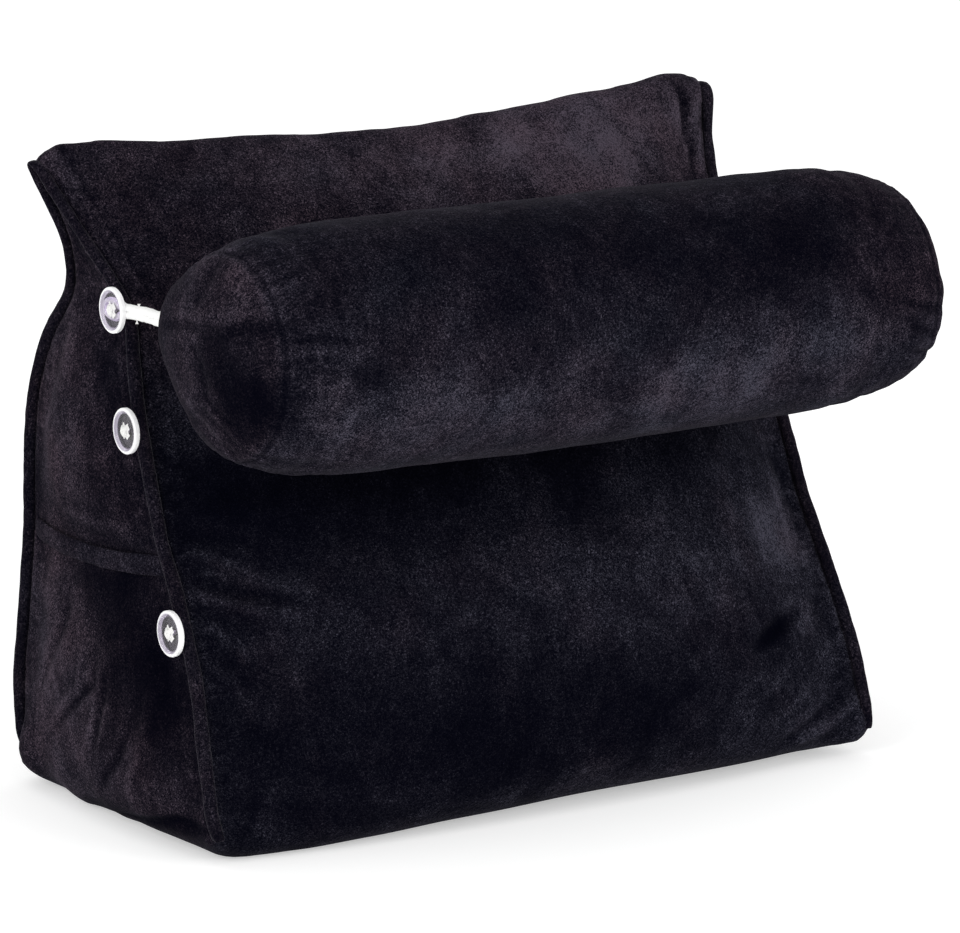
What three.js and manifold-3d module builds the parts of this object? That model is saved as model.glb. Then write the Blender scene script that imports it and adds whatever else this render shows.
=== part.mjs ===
import * as THREE from 'three';
import { mergeVertices } from 'three/addons/utils/BufferGeometryUtils.js';
import Module from 'manifold-3d';

// A wedge backrest pillow: a filled wedge cushion, a filled bolster that rests on its slanted front,
// and two elastic loops that hook the bolster to buttons on the wedge's sides.
// Lengths are in millimetres. Seen from the front, +X is to the right, +Y goes to the back and +Z up.
// While the pieces are made, y = 0 is the front seam at the floor and x = 0 is the middle.

// Driving dimensions
const halfWidth = 223.3; // from the middle to the piping's centre line, before it is drawn in
const pipingRadius = 4;
const gap = 0.3; // between pieces that touch
const clothGap = 1.1; // between the wedge's cloth and what is sewn along it
const bolsterRadius = 70;
const bolsterSeamRadius = 57; // of the round seam at each end
const bolsterSeamX = 214.8; // from the middle to that seam
const bolsterEndDome = 20; // how far a round end stands out past its seam
const bolsterAxis = { y: -14.1, z: 284.4 };
const bolsterEndRise = 2.5; // how far its ends lie above its middle
const loopPull = 17; // how far a loop draws the end seam towards the wedge
const loopPullAngle = 0.11; // radians above the level, on the side that faces the wedge
const flapThickness = 2.4;
const buttonRadius = 13;
const buttonThickness = 3.2;
const buttonWeb = 2; // thickness inside the raised rim
const buttonHoleRadius = 1.1;
const buttonHoleOffset = 1.9; // of each of the four holes from the button's centre lines
const threadRadius = 1.4;
const elasticRadius = 1.8;

// Mesh density
const cellsAcross = 20;
const cellsDeep = 12;
const cellsPerSection = 2;
const aroundBolster = 36;
const aroundButton = 20;
const aroundTube = 8;

// The wedge's sections, from the floor to the ears at its top corners.
// inset: how far the side piping is drawn in. frontY to backZ: where the piping is on the slanted and on
// the upright seam. crownFrontY to crownBackZ: where the filled cloth is in the middle of the pillow.
// bulge: how far the side panel stands out. sag: how far its middle hangs below the seams.
// spread: how flat the crown is across, as the power of its fall towards the seams.
const columnNames = [
  'inset', 'frontY', 'frontZ', 'backY', 'backZ',
  'crownFrontY', 'crownFrontZ', 'crownBackY', 'crownBackZ', 'bulge', 'sag', 'spread',
];
const sections = [
  [3, 0.5, 15, 213, 21, 30, -4, 236, -4, 0, 0, 20],
  [2.6, 1.8, 32, 215.5, 32, -6, 10, 246, 12, 9, 0, 6],
  [3.5, 10.5, 62, 219.3, 62, -24, 40, 248, 45, 15, 1, 3.2],
  [8, 26.5, 100, 220.8, 98, -25, 92, 248, 90, 15, 2, 2.6],
  [11, 55.5, 151, 218.5, 144, -8, 146, 246.5, 140, 8, 4, 2.6],
  [10, 63.5, 165, 215.5, 159, -1, 161, 245.5, 157, 8, 4, 2.6],
  [11, 76.5, 195, 216, 192, 15, 195, 243, 190, 14, 2, 2.6],
  [13.3, 94.5, 235, 212.5, 235, 38.8, 235, 237, 235, 13, 0, 2.6],
  [17, 107.5, 270, 198, 270, 59, 270, 228, 270, 9, 0, 2.6],
  [20, 117.5, 292, 182, 292, 75.5, 291, 220, 292, 5, 0, 2.6],
  [11.5, 144, 323, 170.3, 323, 104, 321, 208, 322, 2, 0, 2.8],
  [4, 163, 347, 176, 347, 127, 344, 196, 344, 1, 0, 3.2],
  [-1, 173.5, 363, 183.5, 363, 148, 360, 180, 360, 0, 0, 4],
];
const lastSection = sections.length - 1;
const flapSections = [4, 5]; // the flap covers the side panel between these two
const ridgeCrown = 9; // how far the top stands above its front and back edges
const earLift = { left: 15, right: 22 }; // how far the top stands up beside each ear
const earRise = { left: 1, right: 4 }; // how far the ears stand over the last section
const pipingRise = 4.5; // of the piping's centre line over an ear

// Which way the piping lies from the cloth's edge, on the +X side
const seamFacing = {
  front: new THREE.Vector3(0.72, -0.62, 0.31).normalize(),
  back: new THREE.Vector3(0.72, 0.69, 0).normalize(),
};

const sectionCurve = new THREE.CubicInterpolant(
  sections.map((section, index) => index), sections.flat(), columnNames.length);

// The section at t, which runs from 0 at the floor to lastSection at the ears
function sectionAt(t) {
  const numbers = sectionCurve.evaluate(t);
  return Object.fromEntries(columnNames.map((name, column) => [name, numbers[column]]));
}

const sideName = (x) => (x < 0 ? 'left' : 'right');

function riseAt(x, t) {
  return earRise[sideName(x)] * THREE.MathUtils.smoothstep(t, lastSection - 3, lastSection);
}

// The piping's centre line on one side, -1 for the left and 1 for the right, on the front or back seam at t
function pipingPoint(side, seam, t) {
  const s = sectionAt(t);
  const x = side * (halfWidth - s.inset);
  const rise = riseAt(side, t);
  if (seam === 'front') return new THREE.Vector3(x, s.frontY, s.frontZ + rise);
  return new THREE.Vector3(x, s.backY, s.backZ + rise);
}

const seamSeat = pipingRadius + clothGap; // from the piping's centre line to the cloth's edge

// The buttons of each side, from the top. t: their height, as a section. behind: how far the shank's foot
// is behind the piping's centre line. lean: how far the disc is in front of the foot. out: how far the
// disc stands outside the piping's centre line. dimple: how deep the button draws the panel in.
const buttons = [
  { side: -1, t: 9.06, behind: 5.9, lean: 8.9, out: 9, dimple: 0, underLoop: true },
  { side: -1, t: 6.85, behind: 6.6, lean: 2.2, out: 5.2, dimple: 2, underLoop: false },
  { side: -1, t: 3.47, behind: 6.6, lean: 2.2, out: 5.1, dimple: 2, underLoop: false },
  { side: 1, t: 9.06, behind: 5.9, lean: 8.9, out: 9, dimple: 0, underLoop: true },
  { side: 1, t: 6.85, behind: 20, lean: 0, out: 6.4, dimple: 5, underLoop: false },
  { side: 1, t: 3.47, behind: 20, lean: 0, out: 5.4, dimple: 5, underLoop: false },
];

// How far the buttons of one side draw its panel in, at a point of it
function dimpleAt(side, point) {
  const reach = 20;
  let drawnIn = 0;
  for (const button of buttons.filter((other) => other.side === side)) {
    const piping = pipingPoint(side, 'front', button.t);
    const away = Math.hypot(point.y - piping.y - button.behind, point.z - piping.z);
    drawnIn += button.dimple * Math.exp(-((away / reach) ** 2));
  }
  return drawnIn;
}

// A point of the wedge's cloth. x, y and z run from -1 to 1 over a box that has the wedge's six faces.
function wedgePoint(x, y, z) {
  const t = lastSection * (z + 1) / 2;
  const s = sectionAt(t);
  const swell = 1 - Math.abs(x) ** s.spread;
  const depth = (y + 1) / 2;
  const edgeX = halfWidth - s.inset - seamSeat * seamFacing.front.x;
  const frontY = THREE.MathUtils.lerp(s.frontY - seamSeat * seamFacing.front.y, s.crownFrontY, swell);
  const frontZ = THREE.MathUtils.lerp(s.frontZ - seamSeat * seamFacing.front.z, s.crownFrontZ, swell);
  const backY = THREE.MathUtils.lerp(s.backY - seamSeat * seamFacing.back.y, s.crownBackY, swell);
  const backZ = THREE.MathUtils.lerp(s.backZ, s.crownBackZ, swell);
  const point = new THREE.Vector3(
    x * edgeX, THREE.MathUtils.lerp(frontY, backY, depth), THREE.MathUtils.lerp(frontZ, backZ, depth));
  if (Math.abs(x) === 1) {
    const fullness = 1 - Math.abs(y) ** 2.4;
    point.x += x * (s.bulge * fullness - dimpleAt(x, point));
    point.z -= s.sag * fullness;
  }
  const nearTop = THREE.MathUtils.smoothstep(z, 0.5, 1);
  point.z += nearTop * earLift[sideName(x)] * x * x * (1 - Math.abs(x) ** 14) + riseAt(x, t) * x * x;
  if (z === 1) point.z += ridgeCrown * (1 - y * y) * swell;
  point.z = Math.max(0, point.z);
  return point;
}

// The outward direction of the side panel at y and z
function sidePanelNormal(side, y, z) {
  const step = 0.01;
  const alongY = wedgePoint(side, y + step, z).sub(wedgePoint(side, y - step, z));
  const alongZ = wedgePoint(side, y, z + step).sub(wedgePoint(side, y, z - step));
  return alongY.cross(alongZ).multiplyScalar(side).normalize();
}

// A geometry as a closed surface with shared corners
function closedSurface(geometry) {
  geometry.deleteAttribute('normal');
  geometry.deleteAttribute('uv');
  const closed = mergeVertices(geometry, 1e-3);
  closed.computeVertexNormals();
  return closed;
}

// Moves every corner of a geometry to shape(corner)
function reshape(geometry, shape) {
  const corners = geometry.attributes.position;
  const corner = new THREE.Vector3();
  for (let i = 0; i < corners.count; i += 1) {
    corner.fromBufferAttribute(corners, i);
    const moved = shape(corner);
    corners.setXYZ(i, moved.x, moved.y, moved.z);
  }
  return closedSurface(geometry);
}

// A round tube along points
function tube(points, radius, steps) {
  const section = new THREE.Shape();
  section.absarc(0, 0, radius, 0, 2 * Math.PI);
  const extrudePath = new THREE.CatmullRomCurve3(points);
  const options = { extrudePath, steps, curveSegments: aroundTube / 2, bevelEnabled: false };
  return closedSurface(new THREE.ExtrudeGeometry(section, options));
}

const wasm = await Module();
wasm.setup();

function toSolid(geometry) {
  return new wasm.Manifold(new wasm.Mesh({
    numProp: 3,
    vertProperties: new Float32Array(geometry.attributes.position.array),
    triVerts: new Uint32Array(geometry.index.array),
  }));
}

function fromSolid(solid) {
  const mesh = solid.getMesh();
  const geometry = new THREE.BufferGeometry();
  geometry.setAttribute('position', new THREE.BufferAttribute(mesh.vertProperties, 3));
  geometry.setIndex(new THREE.BufferAttribute(mesh.triVerts, 1));
  return geometry;
}

const velvetColour = 0x141216;
const finishes = {
  velvet: { color: velvetColour, roughness: 0.95, metalness: 0 },
  piping: { color: velvetColour, roughness: 0.95, metalness: 0 },
  clearPlastic: { color: 0xe8ecf0, roughness: 0.15, metalness: 0, transparent: true, opacity: 0.5 },
  thread: { color: 0xf2f2ee, roughness: 0.8, metalness: 0 },
  elastic: { color: 0xf4f4f2, roughness: 0.85, metalness: 0 },
};

const pillow = new THREE.Group();

function addPiece(name, geometry, finish) {
  const mesh = new THREE.Mesh(geometry, new THREE.MeshStandardMaterial(finish));
  mesh.name = name;
  pillow.add(mesh);
}

// The wedge cushion: crowned front and back, drawn-in sides, a soft ridge between two ears, a flat base

function makeWedge() {
  const box = new THREE.BoxGeometry(2, 2, 2, cellsAcross, cellsDeep, lastSection * cellsPerSection);
  return reshape(box, (corner) => {
    const x = (corner.x + Math.sin(corner.x * Math.PI / 2)) / 2; // closer steps near the seams
    return wedgePoint(x, corner.y, corner.z);
  });
}

// The piping of one side: up the front seam, over the ear and down the back seam

function makePiping(side) {
  const rows = Array.from({ length: 2 * lastSection + 1 }, (unused, index) => index / 2);
  const front = rows.map((t) => pipingPoint(side, 'front', t));
  const back = rows.map((t) => pipingPoint(side, 'back', t)).reverse();
  const ear = front.at(-1).clone().lerp(back[0], 0.5);
  ear.z += pipingRise;
  const steps = 64;
  return tube([...front, ear, ...back], pipingRadius, steps);
}

// The padded flap over the zip, across the left side panel from piping to piping

function makeFlap() {
  const endY = 0.965;
  const chamfer = 0.78; // the outer face's height, as a share of the flap's
  const low = 2 * flapSections[0] / lastSection - 1;
  const high = 2 * flapSections[1] / lastSection - 1;
  const box = new THREE.BoxGeometry(2, 2, 2, 1, cellsDeep, cellsPerSection);
  return reshape(box, (corner) => {
    const outer = corner.x < 0;
    const y = THREE.MathUtils.clamp(corner.y, -endY, endY);
    const height = corner.z * (outer ? chamfer : 1);
    const z = THREE.MathUtils.lerp(low, high, (height + 1) / 2);
    const point = wedgePoint(-1, y, z);
    return point.addScaledVector(sidePanelNormal(-1, y, z), 2 * gap + (outer ? flapThickness : 0));
  });
}

// The bolster: a filled roll with a round panel sewn into each end, whose seam the elastic loop draws back

function bolsterProfile() {
  const alongTube = [0, 0.3, 0.55, 0.72, 0.84, 0.93, 0.98];
  const alongDome = [0, 0.3, 0.55, 0.75, 0.9];
  const half = alongTube.map((share) => new THREE.Vector2(
    bolsterRadius - (bolsterRadius - bolsterSeamRadius) * share ** 8, share * bolsterSeamX));
  for (const share of alongDome) {
    const radius = bolsterSeamRadius * Math.sqrt(1 - share * share);
    half.push(new THREE.Vector2(radius, bolsterSeamX + share * bolsterEndDome));
  }
  half.push(new THREE.Vector2(0, bolsterSeamX + bolsterEndDome));
  const mirrored = half.slice(1).map((point) => new THREE.Vector2(point.x, -point.y)).reverse();
  return [...mirrored, ...half];
}

function makeBolster() {
  const pullReachX = 26;
  const pullReachAngle = 0.6;
  const roll = new THREE.LatheGeometry(bolsterProfile(), aroundBolster).rotateZ(-Math.PI / 2);
  return reshape(roll, (corner) => {
    const angle = Math.atan2(corner.z, corner.y) - loopPullAngle;
    const fromSeam = Math.abs(corner.x) - bolsterSeamX;
    const pull = loopPull * Math.exp(-((fromSeam / pullReachX) ** 2) - ((angle / pullReachAngle) ** 2));
    const rise = bolsterEndRise * (corner.x / bolsterSeamX) ** 2;
    return new THREE.Vector3(
      corner.x,
      corner.y + bolsterAxis.y + pull * Math.cos(loopPullAngle),
      corner.z + bolsterAxis.z + rise + pull * Math.sin(loopPullAngle));
  });
}

// A button: a clear disc with a raised rim and four holes, on a shank of wound thread

function makeButton(side, back) {
  const rimWidth = 3;
  const edgeRound = 0.8;
  const rimTop = buttonRadius - rimWidth / 2;
  const profile = [
    [0, 0], [buttonRadius - edgeRound, 0], [buttonRadius, edgeRound],
    [buttonRadius, buttonThickness - edgeRound], [rimTop + edgeRound, buttonThickness],
    [rimTop - edgeRound / 2, buttonThickness], [buttonRadius - rimWidth, buttonWeb], [0, buttonWeb],
  ].map(([radius, height]) => new THREE.Vector2(radius, height));
  let solid = toSolid(closedSurface(new THREE.LatheGeometry(profile, aroundButton)));
  for (const across of [-1, 1]) {
    for (const up of [-1, 1]) {
      const hole = new THREE.CylinderGeometry(buttonHoleRadius, buttonHoleRadius, 3 * buttonThickness, 8);
      hole.translate(across * buttonHoleOffset, 0, up * buttonHoleOffset);
      solid = solid.subtract(toSolid(closedSurface(hole)));
    }
  }
  const disc = fromSolid(solid);
  return disc.rotateZ(-side * Math.PI / 2).translate(back.x, back.y, back.z);
}

// Where a button's shank stands on the side panel, where it meets the disc, and where the piping is there
function buttonSeat({ side, t, behind, lean, out }) {
  const z = 2 * t / lastSection - 1;
  const piping = pipingPoint(side, 'front', t);
  const panelFront = wedgePoint(side, -1, z);
  const panelBack = wedgePoint(side, 1, z);
  const y = 2 * (piping.y + behind - panelFront.y) / (panelBack.y - panelFront.y) - 1;
  const foot = wedgePoint(side, y, z);
  return { foot, piping, back: new THREE.Vector3(piping.x + side * out, foot.y - lean, foot.z) };
}

// The thread a button hangs on. A loop's pull bends it over the piping.
function makeThread({ side, out, underLoop }, { foot, piping, back }) {
  const bentOver = [
    { out: 3.6, behind: 6 },
    { out: 6.1, behind: 3.5 },
    { out: 7.3, behind: 0 },
    { out: out - gap - threadRadius, behind: back.y - piping.y },
  ];
  const straight = [
    { out: out / 2 - gap, behind: 0.4 * foot.y + 0.6 * back.y - piping.y },
    { out: out - 3 * gap, behind: back.y - piping.y },
  ];
  const points = (underLoop ? bentOver : straight)
    .map((point) => new THREE.Vector3(piping.x + side * point.out, piping.y + point.behind, back.z));
  const start = new THREE.Vector3(foot.x + side * 1.4 * threadRadius, foot.y, foot.z);
  const steps = underLoop ? 8 : 4;
  return tube([start, ...points], threadRadius, steps);
}

// An elastic loop: two strands from the bolster's end seam, over the piping and round a button's thread
function makeLoop(side, { piping, back }) {
  const outward = side * back.x - gap - elasticRadius;
  const round = threadRadius + 4 * gap + elasticRadius;
  const apart = elasticRadius + gap / 2;
  const sewnX = bolsterSeamX - 2;
  const sewnY = bolsterAxis.y + (bolsterSeamRadius + loopPull) * Math.cos(loopPullAngle) + 1.3;
  const sewnZ = bolsterAxis.z + bolsterEndRise + (bolsterSeamRadius + loopPull) * Math.sin(loopPullAngle);
  const threadY = piping.y + 3.9; // where the thread comes out from behind the piping
  const strand = [
    { out: sewnX, y: sewnY, z: sewnZ, half: apart },
    { out: sewnX, y: sewnY + 7, z: sewnZ - 0.3, half: apart },
    { out: outward + 0.5, y: sewnY + 20, z: sewnZ - 0.7, half: apart },
    { out: outward, y: back.y - 6, z: back.z + 0.3, half: apart + 0.4 },
    { out: outward, y: back.y - 1, z: back.z, half: round },
    { out: outward, y: threadY, z: back.z, half: round },
  ];
  const strandPoint = (point, half) => new THREE.Vector3(side * point.out, point.y, point.z + half);
  const upper = strand.map((point) => strandPoint(point, point.half));
  const lower = strand.map((point) => strandPoint(point, -point.half)).reverse();
  const bend = Math.SQRT1_2 * round;
  const turn = [
    new THREE.Vector3(side * outward, threadY + bend, back.z + bend),
    new THREE.Vector3(side * outward, threadY + round, back.z),
    new THREE.Vector3(side * outward, threadY + bend, back.z - bend),
  ];
  const steps = 36;
  return tube([...upper, ...turn, ...lower], elasticRadius, steps);
}

addPiece('wedge_cushion', makeWedge(), finishes.velvet);
addPiece('bolster_roll', makeBolster(), finishes.velvet);
addPiece('zip_flap_left', makeFlap(), finishes.velvet);
for (const side of [-1, 1]) {
  const name = sideName(side);
  addPiece(`piping_${name}`, makePiping(side), finishes.piping);
  buttons.filter((button) => button.side === side).forEach((button, index) => {
    const seat = buttonSeat(button);
    addPiece(`button_${name}_${index + 1}`, makeButton(side, seat.back), finishes.clearPlastic);
    addPiece(`button_thread_${name}_${index + 1}`, makeThread(button, seat), finishes.thread);
    if (button.underLoop) addPiece(`elastic_loop_${name}`, makeLoop(side, seat), finishes.elastic);
  });
}

// The origin is on the floor, under the middle of the whole pillow
const bounds = new THREE.Box3().setFromObject(pillow);
const centre = bounds.getCenter(new THREE.Vector3());
pillow.position.set(-centre.x, -centre.y, -bounds.min.z);

export default pillow;
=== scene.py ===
import math

import bmesh
import bpy
import numpy as np
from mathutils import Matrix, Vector, noise
from mathutils.bvhtree import BVHTree
from mathutils.kdtree import KDTree


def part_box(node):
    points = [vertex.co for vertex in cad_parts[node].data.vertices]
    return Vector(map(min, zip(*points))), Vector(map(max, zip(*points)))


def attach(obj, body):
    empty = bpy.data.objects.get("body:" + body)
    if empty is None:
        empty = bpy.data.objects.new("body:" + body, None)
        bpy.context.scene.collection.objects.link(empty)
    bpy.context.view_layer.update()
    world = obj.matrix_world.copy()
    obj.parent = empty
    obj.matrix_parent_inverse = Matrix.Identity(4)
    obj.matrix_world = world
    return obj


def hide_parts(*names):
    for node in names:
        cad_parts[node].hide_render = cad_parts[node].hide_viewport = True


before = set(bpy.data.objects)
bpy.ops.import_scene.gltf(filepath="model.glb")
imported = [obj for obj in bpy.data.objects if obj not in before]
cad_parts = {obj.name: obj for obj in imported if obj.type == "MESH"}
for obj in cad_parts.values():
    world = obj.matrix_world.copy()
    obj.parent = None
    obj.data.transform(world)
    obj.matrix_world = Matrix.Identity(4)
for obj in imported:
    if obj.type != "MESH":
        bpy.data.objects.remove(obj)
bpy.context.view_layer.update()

# A wedge backrest pillow in black plush, with a bolster that elastic loops hook to clear buttons.
# Lengths are in metres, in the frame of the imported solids: +Z up and -Y to the front.
MM = 0.001
SIDES = {"left": -1, "right": 1}
scene = bpy.context.scene

# The photo's camera
PHOTO_WIDTH = 960
PHOTO_HEIGHT = 933
SENSOR = 36
LENS = 225
AZIMUTH = math.radians(33.046)
ELEVATION = math.radians(12.216)
AIM = Vector((0.0182, 0.0179, 0.1791))
DISTANCE = 3.453
LOOK = Vector((
    math.sin(AZIMUTH) * math.cos(ELEVATION), math.cos(AZIMUTH) * math.cos(ELEVATION), -math.sin(ELEVATION)))
EYE = AIM - DISTANCE * LOOK
RIGHT = Vector((math.cos(AZIMUTH), -math.sin(AZIMUTH), 0))
UP = RIGHT.cross(LOOK)

# Creases of the cloth: half width and height in mm, a trough's height being negative, and then the line
# that each follows, in pixels of the photo
WEDGE_CREASES = [
    # front, beside the left piping
    (9, 1.8, (176, 510), (230, 512), (280, 503)),
    (5, -2.2, (172, 532), (210, 536), (262, 545)),
    (4, 1.8, (176, 553), (210, 558), (250, 570)),
    (5, -2.8, (180, 578), (230, 587), (280, 598), (316, 603)),
    (4, 2.0, (190, 596), (230, 605), (263, 610)),
    (3, 1.2, (203, 630), (216, 627), (226, 637)),
    (5, -1.8, (206, 643), (230, 657), (243, 667)),
    (5, 1.2, (210, 668), (232, 682), (246, 700)),
    (6, -1.4, (215, 700), (240, 715), (262, 745)),
    # front, low and at the right
    (6, -4.4, (755, 648), (777, 626), (800, 609)),
    (5, 1.8, (797, 745), (831, 718), (858, 694)),
    (5, -2.0, (777, 748), (810, 724), (835, 700)),
    (7, -1.6, (772, 450), (783, 491), (798, 530)),
    (8, 1.2, (240, 800), (320, 790), (400, 800)),
    (10, -1.5, (340, 760), (420, 770), (520, 760)),
    (8, 1.4, (560, 775), (640, 745), (700, 735)),
    (6, -1.4, (228, 842), (250, 815), (262, 770)),
    # front, above the bolster
    (7, -1.2, (120, 190), (170, 250), (196, 290)),
    (9, -1.4, (240, 150), (262, 190), (268, 230)),
    (10, 1.4, (360, 140), (380, 170), (392, 200)),
    (9, 1.2, (470, 120), (505, 150), (520, 180)),
    (9, -1.4, (560, 105), (590, 140), (612, 175)),
    (4, -3.0, (684, 82), (698, 120), (708, 150)),
    (4, 2.4, (672, 84), (688, 120), (702, 160)),
    # side panel
    (8, -1.5, (104, 340), (100, 380), (106, 410)),
    (8, 1.3, (86, 300), (66, 350), (56, 400)),
    (5, 1.4, (60, 505), (90, 520), (128, 530)),
    (5, -1.6, (70, 600), (58, 640), (40, 690)),
    (4, 1.6, (84, 650), (78, 690), (48, 735)),
    (4, -2.4, (96, 657), (93, 684), (56, 724)),
    (4, -2.6, (106, 684), (99, 710), (96, 750)),
    (4, -2.0, (131, 720), (118, 760), (112, 784)),
    (5, 1.4, (150, 700), (140, 745), (136, 790)),
    (8, -1.8, (160, 640), (165, 690), (176, 740)),
    # the seam along the side panel's foot
    (2.5, -2.4, (213, 831), (183, 815), (155, 810), (131, 804), (95, 793)),
]
BOLSTER_CREASES = [
    # round end
    (2.5, 1.6, (186, 402), (204, 404), (224, 425), (258, 452)),
    (4, -1.6, (180, 410), (200, 424), (236, 456)),
    (4, -1.8, (163, 326), (183, 323), (205, 330)),
    (6, -1.8, (190, 340), (200, 370), (205, 395)),
    (7, 1.4, (230, 300), (225, 330), (235, 360)),
    (6, -1.4, (215, 262), (205, 290), (190, 305)),
    # tube
    (2.5, -1.1, (292, 341), (325, 338), (372, 345)),
    (3, 1.0, (290, 352), (330, 352), (362, 360)),
    (3, -0.9, (294, 372), (320, 372), (342, 376)),
    (3, -0.8, (290, 425), (320, 418), (352, 418)),
    (7, -2.2, (352, 372), (372, 375), (392, 380)),
    (9, -1.0, (560, 300), (600, 330), (660, 345)),
    (3, -1.8, (905, 322), (925, 330), (938, 334)),
    (3, -1.6, (900, 346), (920, 350), (934, 352)),
    (3, -1.4, (900, 300), (925, 306), (940, 308)),
]

# Where the filling stands out further than in the solids: the middle of the place in pixels of the photo,
# its radius and its height in mm
WEDGE_PUFFS = [
    # above the bolster
    (62, 166, 20, 5), (110, 152, 24, 3), (275, 150, 34, 1.5), (345, 146, 40, 1), (430, 134, 40, 1),
    (500, 124, 36, 2), (560, 112, 34, 1.5), (600, 103, 26, 1), (680, 92, 20, 5), (697, 92, 12, 2),
    # along the foot
    (36, 745, 16, 3), (48, 760, 26, 8), (85, 778, 26, 10), (118, 792, 26, 8), (150, 806, 24, 7),
    (180, 822, 22, 5), (245, 840, 22, 5), (300, 838, 34, 5), (380, 828, 40, 3.5), (480, 812, 50, 2),
    # low at the right, and on the side panel
    (835, 735, 18, 5), (852, 728, 14, 5), (60, 290, 14, 3),
]
BOLSTER_PUFFS = [
    (820, 180, 26, 4), (870, 185, 24, 1), (935, 300, 24, 1.5), (925, 350, 26, 2.5), (880, 388, 30, 1.5),
    (830, 402, 30, 1),
]

# Where the wedge and its piping are drawn out a little further than in the solids: the place, how wide, and
# the way, in mm
DRAWN_OUT = [
    ((-224, 95, 363), 26, (-3.5, 0, 3)),
    ((224, 95, 365), 26, (2.5, 0, 6)),
    ((214, -30, 130), 120, (2, 0, 0)),
    ((216, -78, 12), 18, (5, -2, 2)),
]

# Patches of painted light and shade, partly nap tone: the middle of the patch in pixels of the photo, its
# radius in mm, and how light it is, as a power of 2
WEDGE_LIGHT_AND_SHADE_PATCHES = [
    # side panel
    (62, 330, 40, 0.9), (50, 400, 40, 1.0), (60, 470, 36, 1.0), (110, 370, 26, -1.1), (120, 480, 24, -1.0),
    (45, 600, 40, 1.5), (45, 690, 40, 1.5), (85, 650, 24, 0.8), (120, 605, 32, -2.2), (165, 700, 30, -2.9),
    (148, 650, 26, -2.0), (135, 565, 18, -1.0), (115, 690, 20, -1.0), (85, 745, 26, 1.4), (80, 775, 22, 1.6),
    (135, 780, 20, 1.0), (170, 800, 16, 0.7),
    # front, above the bolster, painted lighter where it faces the light
    (60, 165, 24, 0.3), (150, 250, 26, -0.8), (300, 165, 40, 1.6), (420, 150, 44, 1.9), (520, 150, 44, 2.3),
    (620, 120, 50, 2.4), (690, 130, 30, 2.3), (600, 170, 36, 1.7), (240, 215, 30, 0.3),
    # front, below the bolster, with the bolster's painted shadow just under it
    (200, 510, 30, -2.6), (260, 495, 40, -2.0), (340, 485, 44, -2.1), (440, 472, 44, -2.7),
    (560, 455, 44, -2.3), (670, 445, 40, -1.3), (300, 560, 36, -0.8), (400, 600, 50, -0.3),
    (620, 590, 50, 0.3), (700, 560, 50, 0.7), (770, 540, 34, 2.6), (240, 620, 26, -1.2), (740, 640, 36, -0.6),
    (805, 640, 26, 0.6), (830, 690, 26, 0.5), (700, 680, 44, -1.3), (600, 690, 44, -0.9),
    (480, 700, 50, -1.1), (440, 760, 50, -1.8), (540, 750, 44, -1.7), (640, 720, 36, -1.6),
    (340, 740, 44, -1.7), (260, 720, 34, -1.6), (250, 800, 30, -1.0), (330, 810, 34, -1.1),
    (776, 632, 14, -3.4),
]
BOLSTER_LIGHT_AND_SHADE_PATCHES = [
    # round end
    (210, 255, 22, 1.7), (240, 270, 18, 1.0), (205, 290, 18, 0.6), (245, 300, 20, 0.6), (270, 300, 12, 0.4),
    (190, 340, 16, 0.5), (185, 300, 16, 0.9), (220, 370, 24, -2.0), (250, 405, 24, -3.0), (190, 390, 14, 0.6),
    # tube, from the top down: painted shade on its top and painted light on its underside
    (870, 200, 34, -0.8), (330, 270, 36, -0.4), (420, 255, 44, -0.8), (520, 245, 44, -1.1),
    (620, 245, 44, -0.9), (720, 240, 44, -1.7), (800, 235, 36, -2.1), (880, 265, 40, -0.5),
    (920, 250, 26, 0.2), (380, 300, 30, -0.4), (520, 320, 40, -0.7), (740, 310, 36, -0.7),
    (640, 340, 34, -0.2), (372, 377, 14, -1.4), (440, 360, 30, 0.4), (850, 350, 34, 1.5), (760, 370, 40, 1.6),
    (650, 390, 40, 1.3), (330, 400, 30, 0.9), (700, 400, 40, 1.4), (540, 400, 40, 1.1), (430, 420, 36, 1.2),
    (285, 450, 20, 0.6), (380, 440, 36, 1.0), (480, 440, 40, 1.0),
]

# Lines of painted light and shade, partly nap tone: half width in mm, how light it is, and the line in pixels
WEDGE_LIGHT_AND_SHADE_STROKES = [
    # painted shade under the foot seam, and painted shadow under the flap
    (6, -3.4, (95, 788), (131, 801), (155, 811), (183, 820), (213, 836)),
    (7, -1.4, (75, 572), (110, 582), (150, 584)),
    # brushed streaks at the right of the front, and low on it, painted lighter as the nap's sheen
    (5, 0.9, (742, 470), (752, 510), (762, 560)),
    (4, 1.0, (765, 470), (778, 510), (790, 545)),
    (4, 0.8, (725, 490), (732, 530), (736, 570)),
    (3, 1.1, (548, 790), (566, 772)),
    (3, 1.1, (566, 786), (590, 764)),
    (3, 0.9, (590, 776), (618, 752)),
    (3, 0.8, (610, 770), (640, 750)),
    (4, 0.8, (500, 800), (530, 785)),
    (7, 1.3, (790, 470), (806, 530), (822, 590), (838, 640)),
    (3, 1.0, (760, 700), (790, 670)),
    (3, 1.0, (775, 722), (812, 688)),
    (3, 0.8, (740, 700), (765, 672)),
    # painted shade in the fold at the right ear, and a painted highlight beside it
    (5, -2.2, (690, 86), (700, 108), (706, 128), (711, 150)),
    (3, 1.0, (676, 84), (688, 105), (697, 126), (706, 150)),
    # painted shade and a painted highlight beside the fold at the right of the front
    (5, -1.8, (757, 648), (776, 632), (790, 620)),
    (4, 1.0, (812, 640), (806, 618), (800, 596)),
]
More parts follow.
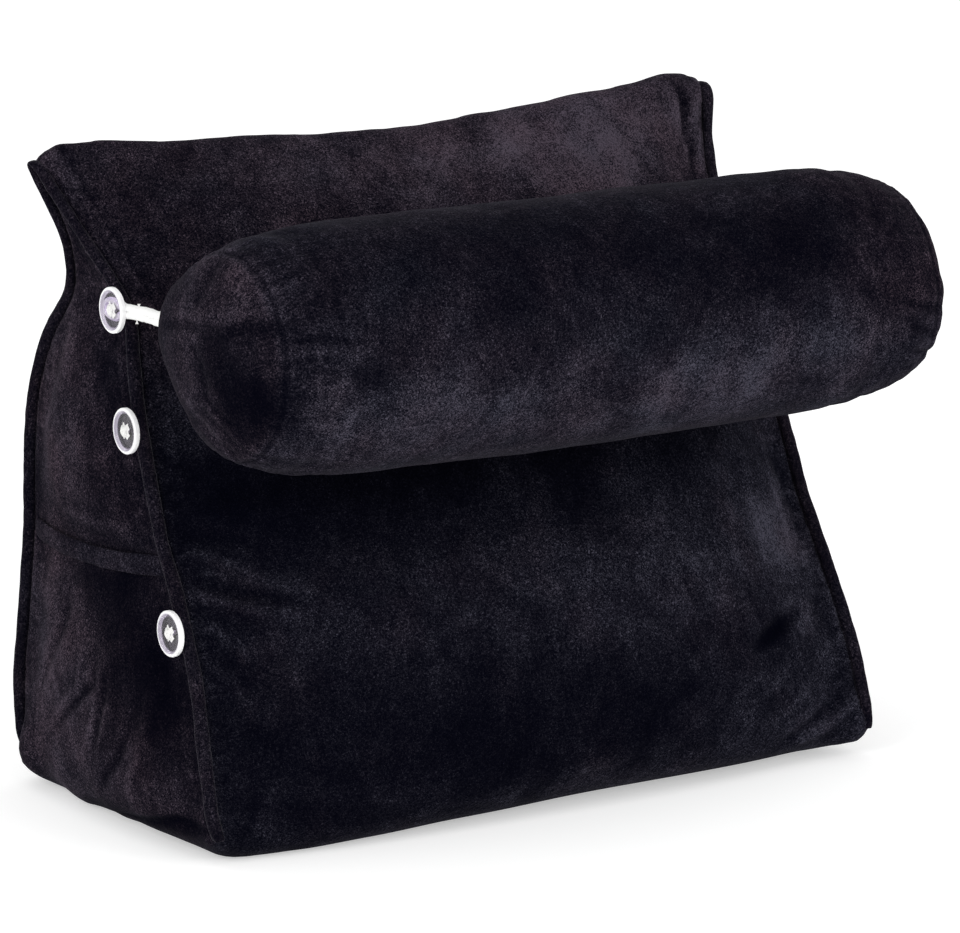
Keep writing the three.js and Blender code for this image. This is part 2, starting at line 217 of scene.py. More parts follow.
BOLSTER_LIGHT_AND_SHADE_STROKES = [
    # round end
    (5, 1.0, (180, 313), (225, 318), (278, 312)),
    (5, -1.6, (215, 336), (250, 330), (283, 330)),
    (4, 0.8, (166, 345), (178, 385), (205, 430), (235, 458)),
    # painted shade in creases beside its seam, and painted highlights along the top
    (2, -0.7, (290, 341), (330, 336), (360, 338)),
    (2, -0.6, (290, 400), (320, 396), (345, 398)),
    (4, 1.2, (455, 204), (500, 200), (548, 196)),
]

# Where the left loop is frayed: the place in pixels of the photo, and 1 for threads that point up or -1 for
# ones that point down
FRAYED_PLACES = [((139, 309), 1), ((137, 319), -1)]

# Sizes that the solids have too
BOLSTER_SEAM = 214.8 * MM  # from the middle to the seam round each end of the bolster
BOLSTER_AXIS_Y = -96.2 * MM
BOLSTER_AXIS_Z = 285.5 * MM
BUTTON_RADIUS = 13 * MM
BUTTON_RIM = 3 * MM
BUTTON_RIM_INSIDE = BUTTON_RADIUS - BUTTON_RIM
BUTTON_THICKNESS = 3.2 * MM
BUTTON_WEB = 2 * MM

# How the cloth is sewn to the piping
SEAM_GAP = 2 * MM  # most of the wedge's seam is nearer to the piping than this
PIPING_ACROSS = 8.5 * MM  # just over a piping's thickness
FACING = 0.8 * MM  # how much further from the cloth than its nearest corner the piping still faces it
SEATS_PER_EDGE = 8
SEWN_IN = 1.5 * MM  # how far the cloth goes into the piping
PIPING_REACH = 24 * MM  # further from the piping than this, the cloth is free

# Across a button's middle, the strands of one side's stitches, first the lower layer and then the upper one:
# how far each is from the middle, and how high, in mm
STRANDS = [(1.0, 0.7), (1.8, 0.9), (2.6, 0.9), (3.4, 0.7), (4.3, 0.5), (1.4, 1.9), (2.3, 2.3), (3.2, 1.8)]
STRAND_STEPS = 8

SAME_CORNER = 0.01 * MM
ROUNDS_TO_EDGE = 6
BLOWING_UP_FRAMES = 20

WHITE = (1, 1, 1, 1)
DARK_PILE = (0.0008, 0.0009, 0.0031, 1)
BLUISH_PILE = (0.056, 0.054, 0.075, 1)
PURPLISH_PILE = (0.080, 0.058, 0.076, 1)
SHEEN_TINT = (0.88, 0.84, 0.95, 1)
WEB_TINTS = ((0.62, 0.54, 0.72, 1), (0.74, 0.68, 0.82, 1))
THREAD_WHITE = (0.92, 0.92, 0.9)
ELASTIC_WHITE = (0.95, 0.95, 0.94)
FLOOR_WHITE = (0.8, 0.8, 0.8, 1)


# Places on the solids

def direction_of(u, v):
    """The direction from the camera through a pixel of the photo."""
    pixel = SENSOR / LENS / PHOTO_WIDTH
    return LOOK + RIGHT * ((u - PHOTO_WIDTH / 2) * pixel) - UP * ((v - PHOTO_HEIGHT / 2) * pixel)


def surface_of(node):
    return BVHTree.FromObject(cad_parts[node], bpy.context.evaluated_depsgraph_get())


def places_on(node, pixels):
    """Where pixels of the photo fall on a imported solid. One just off its outline falls on its edge."""
    surface = surface_of(node)
    places = []
    for u, v in pixels:
        ray = direction_of(u, v).normalized()
        place = surface.ray_cast(EYE, ray)[0]
        if place is None:
            place = AIM
            for _ in range(ROUNDS_TO_EDGE):
                place = surface.find_nearest(EYE + ray * (place - EYE).dot(ray))[0]
        places.append(place)
    return np.array(places)


def away_from(points, node, reach):
    """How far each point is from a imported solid's surface, up to reach."""
    surface = surface_of(node)
    away = np.full(len(points), reach)
    low, high = (np.array(corner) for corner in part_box(node))
    for i in np.flatnonzero(((points > low - reach) & (points < high + reach)).all(1)):
        distance = surface.find_nearest(Vector(points[i]), reach)[3]
        if distance is not None:
            away[i] = distance
    return away


def away_from_piping(points, reach):
    """How far each point is from the nearer of the two pipings, up to reach."""
    left, right = (away_from(points, f"piping_{side}", reach) for side in SIDES)
    return np.minimum(left, right)


# Meshes

def add_to_scene(name, data):
    added = bpy.data.objects.new(name, data)
    scene.collection.objects.link(added)
    return added


def copy_of(node, name):
    """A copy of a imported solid's mesh in four-sided faces, with shared corners and no material."""
    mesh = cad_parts[node].data.copy()
    bm = bmesh.new()
    bm.from_mesh(mesh)
    bmesh.ops.remove_doubles(bm, verts=bm.verts, dist=SAME_CORNER)
    bmesh.ops.recalc_face_normals(bm, faces=bm.faces)
    bmesh.ops.join_triangles(bm, faces=bm.faces, angle_face_threshold=0.35, angle_shape_threshold=1.5)
    bm.to_mesh(mesh)
    bm.free()
    mesh.materials.clear()
    return add_to_scene(name, mesh)


def finished_mesh(piece):
    """What a piece's modifiers or its curve make of it."""
    depsgraph = bpy.context.evaluated_depsgraph_get()
    return bpy.data.meshes.new_from_object(piece.evaluated_get(depsgraph))


def apply_modifiers(piece):
    mesh = finished_mesh(piece)
    piece.modifiers.clear()
    piece.data = mesh


def subdivide(piece, levels):
    modifier = piece.modifiers.new("smooth", "SUBSURF")
    modifier.levels = modifier.render_levels = levels
    apply_modifiers(piece)


def remesh(piece, voxel):
    modifier = piece.modifiers.new("remesh", "REMESH")
    modifier.mode = "VOXEL"
    modifier.voxel_size = voxel
    apply_modifiers(piece)


def read_corners(piece, what):
    values = np.zeros(len(piece.data.vertices) * 3)
    piece.data.vertices.foreach_get(what, values)
    return values.reshape(-1, 3)


def corners_of(piece):
    return read_corners(piece, "co")


def normals_of(piece):
    return read_corners(piece, "normal")


def move_to(piece, corners):
    piece.data.vertices.foreach_set("co", corners.ravel())
    piece.data.update()


def swell(piece, height):
    """Moves each corner outwards by its height."""
    move_to(piece, corners_of(piece) + normals_of(piece) * height[:, None])


def keep_values(piece, name, values):
    """One number for each corner, which a material reads."""
    layer = piece.data.attributes.new(name, "FLOAT", "POINT")
    layer.data.foreach_set("value", values.astype(np.float32))


# Numbers at the corners

def averaged(piece, values, rounds):
    """Values at the corners, each averaged with its neighbours' a number of times."""
    edges = np.zeros(len(piece.data.edges) * 2, int)
    piece.data.edges.foreach_get("vertices", edges)
    starts, ends = edges.reshape(-1, 2).T
    neighbours = np.maximum(np.bincount(edges, minlength=len(values)), 1)[:, None]
    for _ in range(rounds):
        total = np.zeros_like(values)
        for column in range(values.shape[1]):
            total[:, column] = (np.bincount(starts, values[ends, column], len(values))
                                + np.bincount(ends, values[starts, column], len(values)))
        values = (values + total / neighbours) / 2
    return values


def smoothstep(value, start, end):
    share = np.clip((value - start) / (end - start), 0, 1)
    return share * share * (3 - 2 * share)


def bell(value, width):
    return np.exp(-((value / width) ** 2))


def lumps(points, wavelength, seed):
    """Smooth noise at each point, from -1 to 1."""
    shift = Vector((seed * 13.7, seed * 5.1, seed * 9.3))
    return np.array([noise.noise(Vector(point) / wavelength + shift) for point in points])


def tree_of(places):
    tree = KDTree(len(places))
    for number, place in enumerate(places):
        tree.insert(place, number)
    tree.balance()
    return tree


def nearest_of(points, places):
    """Which of the places is nearest to each point, and its distance."""
    tree = tree_of(places)
    numbers, distances = zip(*(tree.find(point)[1:] for point in points))
    return np.array(numbers), np.array(distances)


def line_distance(points, line):
    """How far points are from a line through some places, and how far along it they are, from 0 to 1."""
    steps = np.linalg.norm(np.diff(line, axis=0), axis=1)
    reached = np.concatenate([[0], np.cumsum(steps)])
    away = np.full(len(points), math.inf)
    along = np.zeros(len(points))
    for start, end, step, before in zip(line, line[1:], steps, reached):
        share = np.clip((points - start) @ (end - start) / step ** 2, 0, 1)
        distance = np.linalg.norm(points - start - share[:, None] * (end - start), axis=1)
        nearer = distance < away
        away[nearer] = distance[nearer]
        along[nearer] = ((before + share * step) / reached[-1])[nearer]
    return away, along


# Cloth

def seam_of(node):
    """Places along the wedge's seams, and the place just inside the piping that each is sewn to."""
    cloth = surface_of(node)
    seat = []
    for side in SIDES:
        piping = copy_of(f"piping_{side}", "seam_finder")
        corners = corners_of(piping)
        gap = np.array([cloth.find_nearest(Vector(corner))[3] for corner in corners])
        tree = tree_of(corners)
        smallest = [min(gap[i] for _, i, _ in tree.find_range(corner, PIPING_ACROSS)) for corner in corners]
        facing = gap < np.array(smallest) + FACING
        for edge in piping.data.edges:
            if facing[list(edge.vertices)].all():
                start, end = (corners[i] for i in edge.vertices)
                seat += [start + (end - start) * share for share in np.linspace(0, 1, SEATS_PER_EDGE)]
        bpy.data.objects.remove(piping)
    seat = np.array(seat)
    seam = np.array([cloth.find_nearest(Vector(place))[0] for place in seat])
    way = seat - seam
    return seam, seat + way / np.linalg.norm(way, axis=1)[:, None] * SEWN_IN


def sew(piece, seam, seat, reach):
    """Moves the cloth so that all of a seam comes to its seat. The cloth around follows, within reach."""
    co = corners_of(piece)
    edge = np.unique(nearest_of(seam, co)[0])
    move = seat[nearest_of(co[edge], seam)[0]] - co[edge]
    spread = np.zeros((len(co), 4))
    spread[edge] = np.column_stack([move, np.ones(len(edge))])
    spread = averaged(piece, spread, rounds=12)
    follow = smoothstep(nearest_of(co, co[edge])[1], reach, 0)
    sewn = co + spread[:, :3] / np.maximum(spread[:, 3:], 1e-9) * follow[:, None]
    sewn[edge] = co[edge] + move
    move_to(piece, sewn)


def crease_along_piping(piece):
    """Keeps the seams under the piping sharp when the piece is subdivided."""
    near = away_from_piping(corners_of(piece), PIPING_REACH) < SEAM_GAP
    bm = bmesh.new()
    bm.from_mesh(piece.data)
    crease = bm.edges.layers.float.new("crease_edge")
    for edge in bm.edges:
        if near[edge.verts[0].index] and near[edge.verts[1].index]:
            edge[crease] = 0.9
    bm.to_mesh(piece.data)
    bm.free()


def crease_heights(points, node, creases):
    height = np.zeros(len(points))
    for width, depth, *pixels in creases:
        away, along = line_distance(points, places_on(node, pixels))
        ends = np.clip(4 * along * (1 - along) + 0.25, 0, 1)
        profile = bell(away, width * MM) - 0.35 * bell(away, 2.4 * width * MM)
        height += depth * MM * profile * ends
    return height


def puff_heights(points, node, puffs):
    height = np.zeros(len(points))
    places = places_on(node, [(u, v) for u, v, _, _ in puffs])
    for place, (_, _, radius, amount) in zip(places, puffs, strict=True):
        height += amount * MM * bell(np.linalg.norm(points - place, axis=1), radius * MM)
    return height


def drawn_out(points):
    """The points moved as DRAWN_OUT says."""
    points = points.copy()
    for place, width, way in DRAWN_OUT:
        away = np.linalg.norm(points - np.array(place) * MM, axis=1)
        points += bell(away, width * MM)[:, None] * np.array(way) * MM
    return points


def fill_with_pressure(piece, held, shrink, cap, slack, share):
    """Blows the piece up, from a shape that is drawn in by shrink and with cloth that has some slack. held is
    how firmly each corner stays in place, and none goes further than cap. The broad form stays the solid's,
    and a share of the blown-up cloth's folds comes onto it."""
    rest = corners_of(piece)
    swell(piece, -shrink * (1 - held))
    group = piece.vertex_groups.new(name="held")
    levels = np.round(held, 1)
    for level in np.unique(levels[levels > 0]):
        group.add([int(i) for i in np.flatnonzero(levels == level)], float(level), "REPLACE")
    cloth = piece.modifiers.new("cloth", "CLOTH")
    cloth.settings.quality = 5
    cloth.settings.use_pressure = True
    cloth.settings.uniform_pressure_force = 4
    cloth.settings.vertex_group_mass = "held"
    cloth.settings.shrink_min = -slack
    cloth.settings.effector_weights.gravity = 0
    cloth.collision_settings.use_collision = False
    cloth.point_cache.frame_start = 1
    cloth.point_cache.frame_end = BLOWING_UP_FRAMES
    for number in range(1, BLOWING_UP_FRAMES + 1):
        scene.frame_set(number)
    apply_modifiers(piece)
    scene.frame_set(1)
    moved = corners_of(piece) - rest
    moved *= np.minimum(1, cap / np.maximum(np.linalg.norm(moved, axis=1), 1e-9))[:, None]
    move_to(piece, rest + share * (moved - averaged(piece, moved, rounds=40)))


def bend_of(piece):
    """How far each corner stands out from the cloth around it: a ridge is positive and a fold negative."""
    co = corners_of(piece)
    out = np.einsum("ij,ij->i", co - averaged(piece, co, rounds=8), normals_of(piece))[:, None]
    return (out - averaged(piece, out, rounds=60))[:, 0]


def painted_light_and_tone_of(piece, smooth, node, patches, strokes, seed):
    """Painted light and shade at each corner, as a power of 2: painted shade in folds and painted highlights
    on ridges, and patches and lines of painted light and shade, mixed with some tone of the brushed nap.
    smooth is where the corners were before the cloth's folds were added."""
    wobble = np.stack([lumps(smooth, 26 * MM, seed + k) for k in range(3)], 1)
    # painted shade in the folds and painted highlights on the ridges
    light = 0.8 * np.clip(bend_of(piece) / (0.35 * MM), -1.8, 1.2)
    # patches of painted light and shade, with some nap tone
    places = places_on(node, [(u, v) for u, v, _, _ in patches])
    for place, (_, _, radius, amount) in zip(places, patches, strict=True):
        away = np.linalg.norm(smooth + 0.45 * radius * MM * wobble - place, axis=1)
        light += amount * bell(away, 0.8 * radius * MM)
    # lines of painted light and shade
    for width, amount, *pixels in strokes:
        away, along = line_distance(smooth + 2 * MM * wobble, places_on(node, pixels))
        light += amount * bell(away, width * MM) * np.clip(4 * along * (1 - along) + 0.3, 0, 1)
    return light


# The wedge

def wedge_folds(co, out):
    """How far the folds stand out at each corner of the wedge. out is the way that the cloth faces."""
    away = away_from_piping(co, PIPING_REACH)
    above_floor = smoothstep(co[:, 2], 4 * MM, 40 * MM)
    height = crease_heights(co, "wedge_cushion", WEDGE_CREASES)
    free = smoothstep(away, 4 * MM, 16 * MM) * above_floor
    height += free * (1.3 * MM * lumps(co, 46 * MM, 1) + 0.6 * MM * lumps(co, 17 * MM, 2))
    height += puff_heights(co, "wedge_cushion", WEDGE_PUFFS)
    # the allowance of the seam shows through beside the piping, on the upper front
    upper_front = smoothstep(co[:, 2], 230 * MM, 260 * MM) * smoothstep(-out[:, 1], 0, 0.25)
    allowance = smoothstep(away, 11.5 * MM, 9.5 * MM) * smoothstep(away, 2 * MM, 4 * MM)
    height += 1.2 * MM * allowance * upper_front
    # puckers run away from the piping
    pucker = lumps(co * [1, 1, 2.5], 9 * MM, 3)
    height += 0.8 * MM * pucker * bell(away - 9 * MM, 8 * MM) * above_floor
    return height


def make_wedge():
    wedge = copy_of("wedge_cushion", "wedge_velvet")
    crease_along_piping(wedge)
    subdivide(wedge, 2)
    remesh(wedge, voxel=5 * MM)
    seam, seat = seam_of("wedge_cushion")
    sew(wedge, seam, seam, reach=10 * MM)
    # the cloth stays in place at the piping and on the floor
    co = corners_of(wedge)
    held = np.clip(1 - (away_from_piping(co, PIPING_REACH) - 5 * MM) / (14 * MM), 0, 1)
    held = np.maximum(held, co[:, 2] < 1 * MM)
    fill_with_pressure(wedge, held, shrink=3 * MM, cap=22 * MM, slack=0.035, share=0.9)
    subdivide(wedge, 1)
    smooth = corners_of(wedge)
    swell(wedge, wedge_folds(smooth, normals_of(wedge)))
    sew(wedge, seam, seat, reach=9 * MM)
    co = drawn_out(corners_of(wedge))
    co[:, 2] = np.maximum(co[:, 2], 0)
    move_to(wedge, co)
    # painted light and shade, with some nap tone, kept at the corners
    keep_values(wedge, "painted_light_and_tone", painted_light_and_tone_of(wedge, smooth, "wedge_cushion", WEDGE_LIGHT_AND_SHADE_PATCHES, WEDGE_LIGHT_AND_SHADE_STROKES, seed=1))
    # the sides, and the front above the bolster, have a purple cast, and the rest of the front a blue one
    above = smoothstep(co[:, 2], 230 * MM, 290 * MM)
    sides = smoothstep(np.abs(normals_of(wedge)[:, 0]), 0.5, 0.8)
    keep_values(wedge, "cast", 0.7 * np.maximum(above, sides))
    return wedge


# The bolster

def bolster_gathers(co, from_seam):
    """Gathers run away from the seam round each end."""
    angle = np.arctan2(co[:, 2] - BOLSTER_AXIS_Z, co[:, 1] - BOLSTER_AXIS_Y)
    round_the_seam = np.stack([np.cos(angle), np.sin(angle), 0.5 * np.sign(co[:, 0])], 1)
    gather = lumps(round_the_seam, 0.14, 6) + 0.6 * lumps(round_the_seam, 0.07, 7)
    reach = np.where(from_seam < 0, 30 * MM, 10 * MM)
    return 0.7 * MM * gather * bell(from_seam, reach)


def make_bolster():
    bolster = copy_of("bolster_roll", "bolster_velvet")
    subdivide(bolster, 2)
    remesh(bolster, voxel=4 * MM)
    held = bell(np.abs(corners_of(bolster)[:, 0]) - BOLSTER_SEAM, 5 * MM)
    fill_with_pressure(bolster, held, shrink=2 * MM, cap=22 * MM, slack=0.03, share=0.3)
    subdivide(bolster, 1)
    co = corners_of(bolster)
    from_seam = np.abs(co[:, 0]) - BOLSTER_SEAM
    height = crease_heights(co, "bolster_roll", BOLSTER_CREASES)
    height += 1.0 * MM * lumps(co, 60 * MM, 4) + 0.4 * MM * lumps(co, 18 * MM, 5)
    height += puff_heights(co, "bolster_roll", BOLSTER_PUFFS)
    height += bolster_gathers(co, from_seam)
    height -= 0.9 * MM * bell(from_seam, 1.8 * MM)
    swell(bolster, height)
    # painted light and shade, with some nap tone, and painted shade in the trough along the seam round each
    # end
    painted_light_and_tone = painted_light_and_tone_of(bolster, co, "bolster_roll", BOLSTER_LIGHT_AND_SHADE_PATCHES, BOLSTER_LIGHT_AND_SHADE_STROKES, seed=2)
    keep_values(bolster, "painted_light_and_tone", painted_light_and_tone - 0.3 * bell(from_seam, 1.6 * MM))
    # the round ends, and the top of the right end, have a purple cast
    top_right = smoothstep(co[:, 0], 120 * MM, 190 * MM) * smoothstep(co[:, 2], 255 * MM, 300 * MM)
    ends = smoothstep(from_seam, -2 * MM, 6 * MM)
    keep_values(bolster, "cast", np.maximum(0.25 + 0.6 * top_right, 0.6 * ends))
    return bolster


# Piping and flap

def make_piping(side):
    """The solid's run of piping made round, with the slight lumps of cloth sewn over a cord."""
    piping = copy_of(f"piping_{side}", f"piping_velvet_{side}")
    subdivide(piping, 2)
    co = corners_of(piping)
    height = 0.3 * MM + 0.3 * MM * lumps(co, 7 * MM, 8) + 0.35 * MM * lumps(co, 24 * MM, 9)
    # it is thinner from the bolster up, but full over the right ear's tip
    height -= 0.8 * MM * smoothstep(co[:, 2], 270 * MM, 310 * MM)
    height += 1.7 * MM * smoothstep(co[:, 2], 345 * MM, 365 * MM) * (side == "right")
    co += normals_of(piping) * height[:, None]
    # its ends at the floor are tucked in
    co[:, 0] -= SIDES[side] * 4 * MM * smoothstep(co[:, 2], 34 * MM, 8 * MM)
    move_to(piping, drawn_out(co))
    ear = 0.4 * smoothstep(co[:, 2], 290 * MM, 340 * MM) * (side == "right")
    keep_values(piping, "painted_light_and_tone", 0.4 * lumps(co, 40 * MM, 10) + ear)
    keep_values(piping, "cast", np.full(len(co), 0.6))
    return piping


def make_flap():
    flap = copy_of("zip_flap_left", "flap_velvet")
    subdivide(flap, 3)
    co = corners_of(flap)
    swell(flap, 0.5 * MM * lumps(co, 20 * MM, 11))
    keep_values(flap, "painted_light_and_tone", 0.2 + 0.8 * lumps(co, 40 * MM, 12))
    keep_values(flap, "cast", np.full(len(co), 0.4))
    return flap


# Buttons, their stitches, and the elastic loops

def button_profile():
    """Half of a button's section, as distances from its axis and heights over its back."""
    rounding = 0.7 * MM
    straight = BUTTON_RADIUS - rounding
    rim_radius = BUTTON_RIM / 2
    rim_middle = BUTTON_RADIUS - rim_radius
    rim_rise = 0.6 * rim_radius
    back = [(0, 0), (BUTTON_RIM_INSIDE, 0), (straight, 0)]
    back += [(straight + rounding * math.sin(a), rounding - rounding * math.cos(a)) for a in (0.5, 1.1, 1.57)]
    rim = [(rim_middle + rim_radius * math.cos(a), BUTTON_THICKNESS - rim_rise * (1 - math.sin(a)))
           for a in (0, 0.4, 0.8, 1.2, 1.57, 2.0, 2.4, 2.8)]
    web = [(BUTTON_RIM_INSIDE, BUTTON_WEB + 0.15 * MM), (BUTTON_RIM_INSIDE - 0.8 * MM, BUTTON_WEB),
           (0, BUTTON_WEB)]
    return back + rim + web


def button_place(node):
    """The way out from the pillow, as 1 or -1 along X, the X of a button's back, and the button's middle."""
    low, high = (Vector(corner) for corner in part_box(node))
    outward = 1 if low.x > 0 else -1
    back = low.x if outward > 0 else high.x
    return outward, back, (low + high) / 2


def make_button(node):
    """A clear disc with a raised rim, where the solid is. Its outer face looks away from the pillow."""
    outward, back, middle = button_place(node)
    bm = bmesh.new()
    corners = [bm.verts.new((height * outward, radius, 0)) for radius, height in button_profile()]
    edges = [bm.edges.new(pair) for pair in zip(corners, corners[1:])]
    bmesh.ops.spin(bm, geom=corners + edges, cent=(0, 0, 0), axis=(1, 0, 0), angle=math.tau, steps=64,
                   use_merge=True)
    bmesh.ops.remove_doubles(bm, verts=bm.verts, dist=SAME_CORNER)
    bmesh.ops.recalc_face_normals(bm, faces=bm.faces)
    from_middle = np.array([corner.co.yz.length for corner in bm.verts])
    bmesh.ops.translate(bm, verts=bm.verts, vec=(back, middle.y, middle.z))
    mesh = bpy.data.meshes.new(node)
    bm.to_mesh(mesh)
    bm.free()
    button = add_to_scene(node.replace("button", "clear_button"), mesh)
    # the rim, where the material paints its highlight
    rim = smoothstep(from_middle, BUTTON_RIM_INSIDE + 0.6 * MM, BUTTON_RIM_INSIDE + 1.8 * MM)
    keep_values(button, "rim", rim)
    button.visible_shadow = False  # light falls through the clear plastic
    return button


def tubes(name, lines, radius):
    """Round threads through lists of places, closed at their ends, as one mesh."""
    curve = bpy.data.curves.new(name, "CURVE")
    curve.dimensions = "3D"
    curve.bevel_depth = radius
    curve.bevel_resolution = 2
    curve.use_fill_caps = True
    for line in lines:
        spline = curve.splines.new("POLY")
        spline.points.add(len(line) - 1)
        for point, place in zip(spline.points, line):
            point.co = (*place, 1)
    thick = add_to_scene(name, curve)
    mesh = finished_mesh(thick)
    bpy.data.objects.remove(thick)
    return add_to_scene(name, mesh)


def make_stitches(node):
    """Thread from hole to hole on all four sides of a button's middle, in two layers of strands."""
    outward, back, middle = button_place(node)
    face = back + outward * BUTTON_WEB
    lines = []
    for quarter in range(4):
        turn = quarter * math.pi / 2
        for number, (offset, rise) in enumerate(STRANDS):
            half = (2.4 + 0.5 * math.sin(2.3 * number + quarter)) * MM
            line = []
            for step in range(STRAND_STEPS + 1):
                share = 2 * step / STRAND_STEPS - 1
                along = share * half
                pinched = (0.65 + 0.35 * share ** 2) * offset * MM
                lift = (rise * math.sin(math.pi * step / STRAND_STEPS) ** 0.5 - 0.3) * MM
                y = along * math.cos(turn) - pinched * math.sin(turn)
                z = along * math.sin(turn) + pinched * math.cos(turn)
                line.append((face + outward * lift, middle.y + y, middle.z + z))
            lines.append(line)
    return tubes(node.replace("button", "stitches"), lines, radius=0.55 * MM)


def make_loop(side):
    loop = copy_of(f"elastic_loop_{side}", f"elastic_{side}")
    subdivide(loop, 2)
    swell(loop, 0.7 * MM + 0.3 * MM * lumps(corners_of(loop), 3 * MM, 13))
    return loop


def make_loose_threads():
    """Short frayed threads that stand off the left loop."""
    length = 2.8 * MM
    apart = 0.5 * MM
    lines = []
    for pixel, way in FRAYED_PLACES:
        root = Vector(places_on("elastic_loop_left", [pixel])[0])
        for number in range(4):
            spread = RIGHT * (number - 1.5) * apart
            lines.append([root + UP * way * length * share + spread * share ** 2
                          for share in (-0.2, 0.2, 0.5, 0.8, 1)])
    return tubes("loose_threads_left", lines, radius=0.18 * MM)


# Materials

class Material:
    """Builds one material's nodes."""

    def __init__(self, name):
        self.material = bpy.data.materials.new(name)
        self.material.use_nodes = True
        self.nodes = self.material.node_tree.nodes
        self.links = self.material.node_tree.links
        self.bsdf = self.nodes["Principled BSDF"]
        self.place = self.nodes.new("ShaderNodeTexCoord").outputs["Object"]

    def feed(self, socket, value):
        if isinstance(value, bpy.types.NodeSocket):
            self.links.new(value, socket)
        else:
            socket.default_value = value

    def set(self, **values):
        for name, value in values.items():
            self.feed(self.bsdf.inputs[name.replace("_", " ")], value)

    def value(self, name):
        """The number that keep_values gave each corner."""
        node = self.nodes.new("ShaderNodeAttribute")
        node.attribute_name = name
        return node.outputs["Fac"]

    def noise(self, scale, detail=2, roughness=0.5, distortion=0.0, place=None):
        node = self.nodes.new("ShaderNodeTexNoise")
        self.feed(node.inputs["Vector"], place or self.place)
        for name, value in (("Scale", scale), ("Detail", detail), ("Roughness", roughness),
                            ("Distortion", distortion)):
            node.inputs[name].default_value = value
        return node.outputs["Fac"]

    def stretched(self, scale):
        node = self.nodes.new("ShaderNodeMapping")
        self.feed(node.inputs["Vector"], self.place)
        node.inputs["Scale"].default_value = scale
        return node.outputs["Vector"]

    def math(self, operation, *values):
        node = self.nodes.new("ShaderNodeMath")
        node.operation = operation
        for socket, value in zip(node.inputs, values):
            self.feed(socket, value)
        return node.outputs[0]

    def swing(self, value, amount):
        """Noise turned into a number from about -amount to amount."""
        node = self.nodes.new("ShaderNodeMapRange")
        for socket, number in zip(node.inputs, (value, 0.25, 0.75, -amount, amount)):
            self.feed(socket, number)
        return node.outputs[0]

    def blend(self, share, a, b):
        node = self.nodes.new("ShaderNodeMix")
        node.data_type = "RGBA"
        for socket, value in zip((node.inputs[0], node.inputs[6], node.inputs[7]), (share, a, b)):
            self.feed(socket, value)
        return node.outputs[2]

    def bump(self, height, distance, strength, below=None):
        node = self.nodes.new("ShaderNodeBump")
        node.inputs["Strength"].default_value = strength
        node.inputs["Distance"].default_value = distance
        self.feed(node.inputs["Height"], height)
        if below is not None:
            self.feed(node.inputs["Normal"], below)
        return node.outputs["Normal"]


def velvet(name, lightness, sheen):
    """Black plush: short nap in random light and dark patches, some bluish and some purplish, made lighter or
    darker by the painted light and shade kept at its corners.
    """
    plush = Material(name)
    blotch = plush.noise(scale=28, detail=4, roughness=0.55, distortion=0.9)
    brushed = plush.noise(scale=75, distortion=1.4, place=plush.stretched((1, 1, 0.45)))
    clump = plush.noise(scale=260, detail=1, distortion=1.0)
    grain = plush.noise(scale=1150, detail=1, distortion=1.2)
    # the painted light and shade kept at the corners, as a power of 2, with random tone added from the noises
    # below
    power = plush.value("painted_light_and_tone")
    for texture, amount in ((blotch, 0.9), (brushed, 0.55), (clump, 0.4), (grain, 3.2)):
        power = plush.math("ADD", power, plush.swing(texture, amount))
    light = plush.math("MULTIPLY", plush.math("POWER", 2.0, power), lightness)
    cast = plush.math("ADD", plush.value("cast"), plush.swing(plush.noise(scale=26, detail=3), 0.35))
    bright = plush.blend(cast, BLUISH_PILE, PURPLISH_PILE)
    plush.set(Base_Color=plush.blend(plush.math("MINIMUM", light, 1.0), DARK_PILE, bright), Roughness=0.85,
              Specular_IOR_Level=0.0, Sheen_Weight=sheen, Sheen_Roughness=0.3, Sheen_Tint=SHEEN_TINT)
    nap = plush.bump(blotch, distance=5 * MM, strength=0.3)
    tufts = plush.bump(clump, distance=1.2 * MM, strength=0.4, below=nap)
    plush.set(Normal=plush.bump(grain, distance=0.5 * MM, strength=0.5, below=tufts))
    return plush.material


def clear_plastic():
    """Clear in the web, with a faint haze, and whiter and less clear in the rim: a painted highlight of the
    light that the thick plastic catches.
    """
    plastic = Material("clear_plastic")
    haze = plastic.noise(scale=90)
    rim = plastic.value("rim")
    # the rim's whiteness is a painted highlight
    clear = plastic.math("SUBTRACT", 1.0, plastic.math("MULTIPLY", rim, 0.85))
    web = plastic.blend(haze, *WEB_TINTS)
    plastic.set(Base_Color=plastic.blend(rim, web, WHITE), Roughness=0.04, IOR=1.33,
                Transmission_Weight=clear, Specular_IOR_Level=0.15)
    plastic.set(Normal=plastic.bump(haze, distance=0.2 * MM, strength=0.15))
    return plastic.material


def white_cord(name, scale, colour):
    cord = Material(name)
    weave = cord.noise(scale, roughness=0.6)
    shade = (*(0.8 * channel for channel in colour), 1)
    cord.set(Base_Color=cord.blend(weave, shade, (*colour, 1)), Roughness=0.8, Sheen_Weight=0.2)
    cord.set(Normal=cord.bump(weave, distance=0.3 * MM, strength=0.8))
    return cord.material


def white_floor():
    """White, and faintly lit from within, so that the backdrop comes out white and keeps a soft shadow."""
    paper = Material("floor")
    paper.set(Base_Color=FLOOR_WHITE, Roughness=0.9, Specular_IOR_Level=0.0, Emission_Color=WHITE,
              Emission_Strength=0.42)
    return paper.material


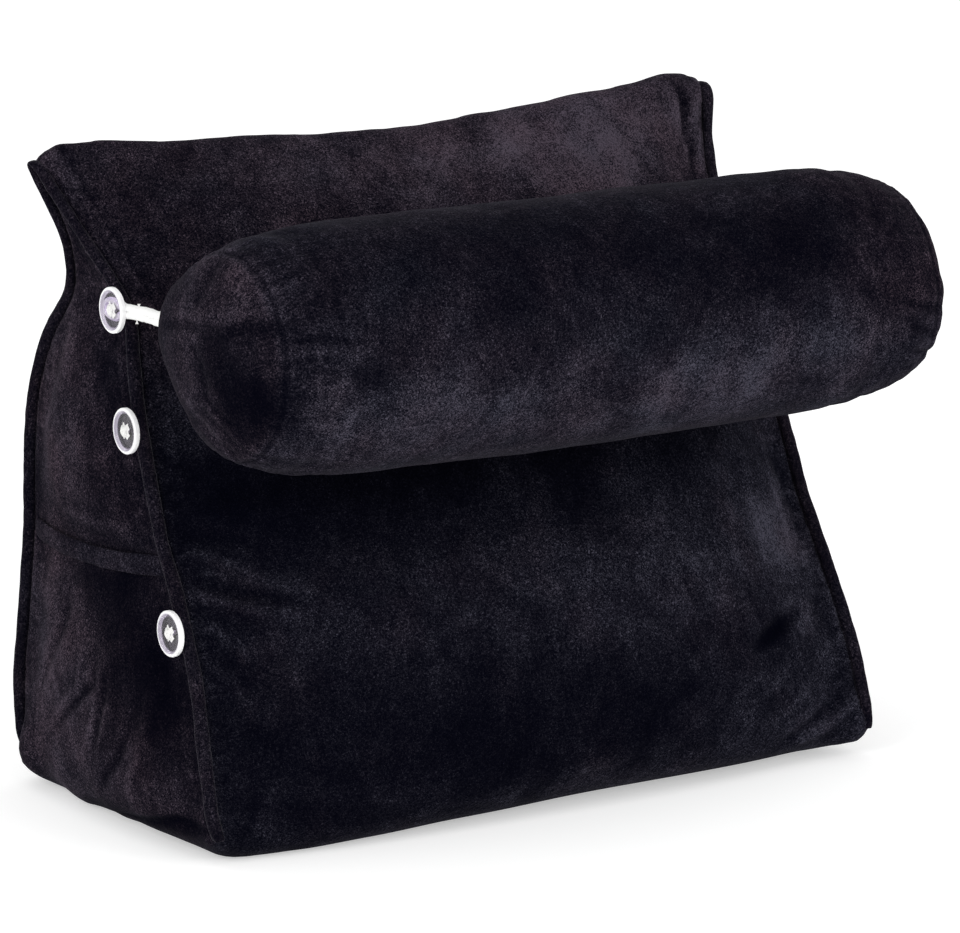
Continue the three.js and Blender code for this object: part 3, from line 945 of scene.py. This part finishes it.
materials = {
    "velvet": velvet("velvet", lightness=0.102, sheen=0.04),
    "piping": velvet("piping", lightness=0.07, sheen=0.14),
    "clear_plastic": clear_plastic(),
    "thread": white_cord("thread", scale=1400, colour=THREAD_WHITE),
    "elastic": white_cord("elastic", scale=900, colour=ELASTIC_WHITE),
}


def dress(piece, slot, *nodes):
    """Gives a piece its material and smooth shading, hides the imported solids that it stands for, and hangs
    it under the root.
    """
    piece.data.materials.clear()
    piece.data.materials.append(materials[slot])
    piece.data.polygons.foreach_set("use_smooth", [True] * len(piece.data.polygons))
    if nodes:
        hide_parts(*nodes)
    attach(piece, "root")


wedge = make_wedge()
dress(wedge, "velvet", "wedge_cushion")
bolster = make_bolster()
dress(bolster, "velvet", "bolster_roll")
dress(make_flap(), "velvet", "zip_flap_left")
dress(make_loose_threads(), "elastic")
for side in SIDES:
    dress(make_piping(side), "piping", f"piping_{side}")
    dress(make_loop(side), "elastic", f"elastic_loop_{side}")
    for number in (1, 2, 3):
        node = f"button_{side}_{number}"
        dress(make_button(node), "clear_plastic", node)
        dress(make_stitches(node), "thread")
        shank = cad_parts[f"button_thread_{side}_{number}"]
        shank.data.materials.clear()
        shank.data.materials.append(materials["thread"])


# Floor, light and camera

def softbox(name, place, size, power):
    """A round light that points at the pillow."""
    data = bpy.data.lights.new(name, "AREA")
    data.shape = "DISK"
    data.size = size
    data.energy = power
    lamp = add_to_scene(name, data)
    lamp.location = place
    lamp.rotation_euler = (AIM - Vector(place)).to_track_quat("-Z", "Y").to_euler()


bpy.ops.mesh.primitive_plane_add(size=16)
floor = bpy.context.object
floor.name = "floor"
floor.data.materials.append(white_floor())
softbox("light_left", place=(-2.4, -1.0, 1.5), size=1.2, power=20)
softbox("light_front", place=(0.9, -2.8, 1.3), size=1.4, power=20)
scene.world = bpy.data.worlds.new("studio")
scene.world.use_nodes = True
background = scene.world.node_tree.nodes["Background"]
background.inputs["Color"].default_value = WHITE
background.inputs["Strength"].default_value = 0.85
scene.view_settings.view_transform = "Standard"

camera_data = bpy.data.cameras.new("camera")
camera_data.sensor_width = SENSOR
camera_data.lens = LENS
camera = add_to_scene("camera", camera_data)
camera.location = EYE
camera.rotation_euler = (math.pi / 2 - ELEVATION, 0, -AZIMUTH)
scene.camera = camera
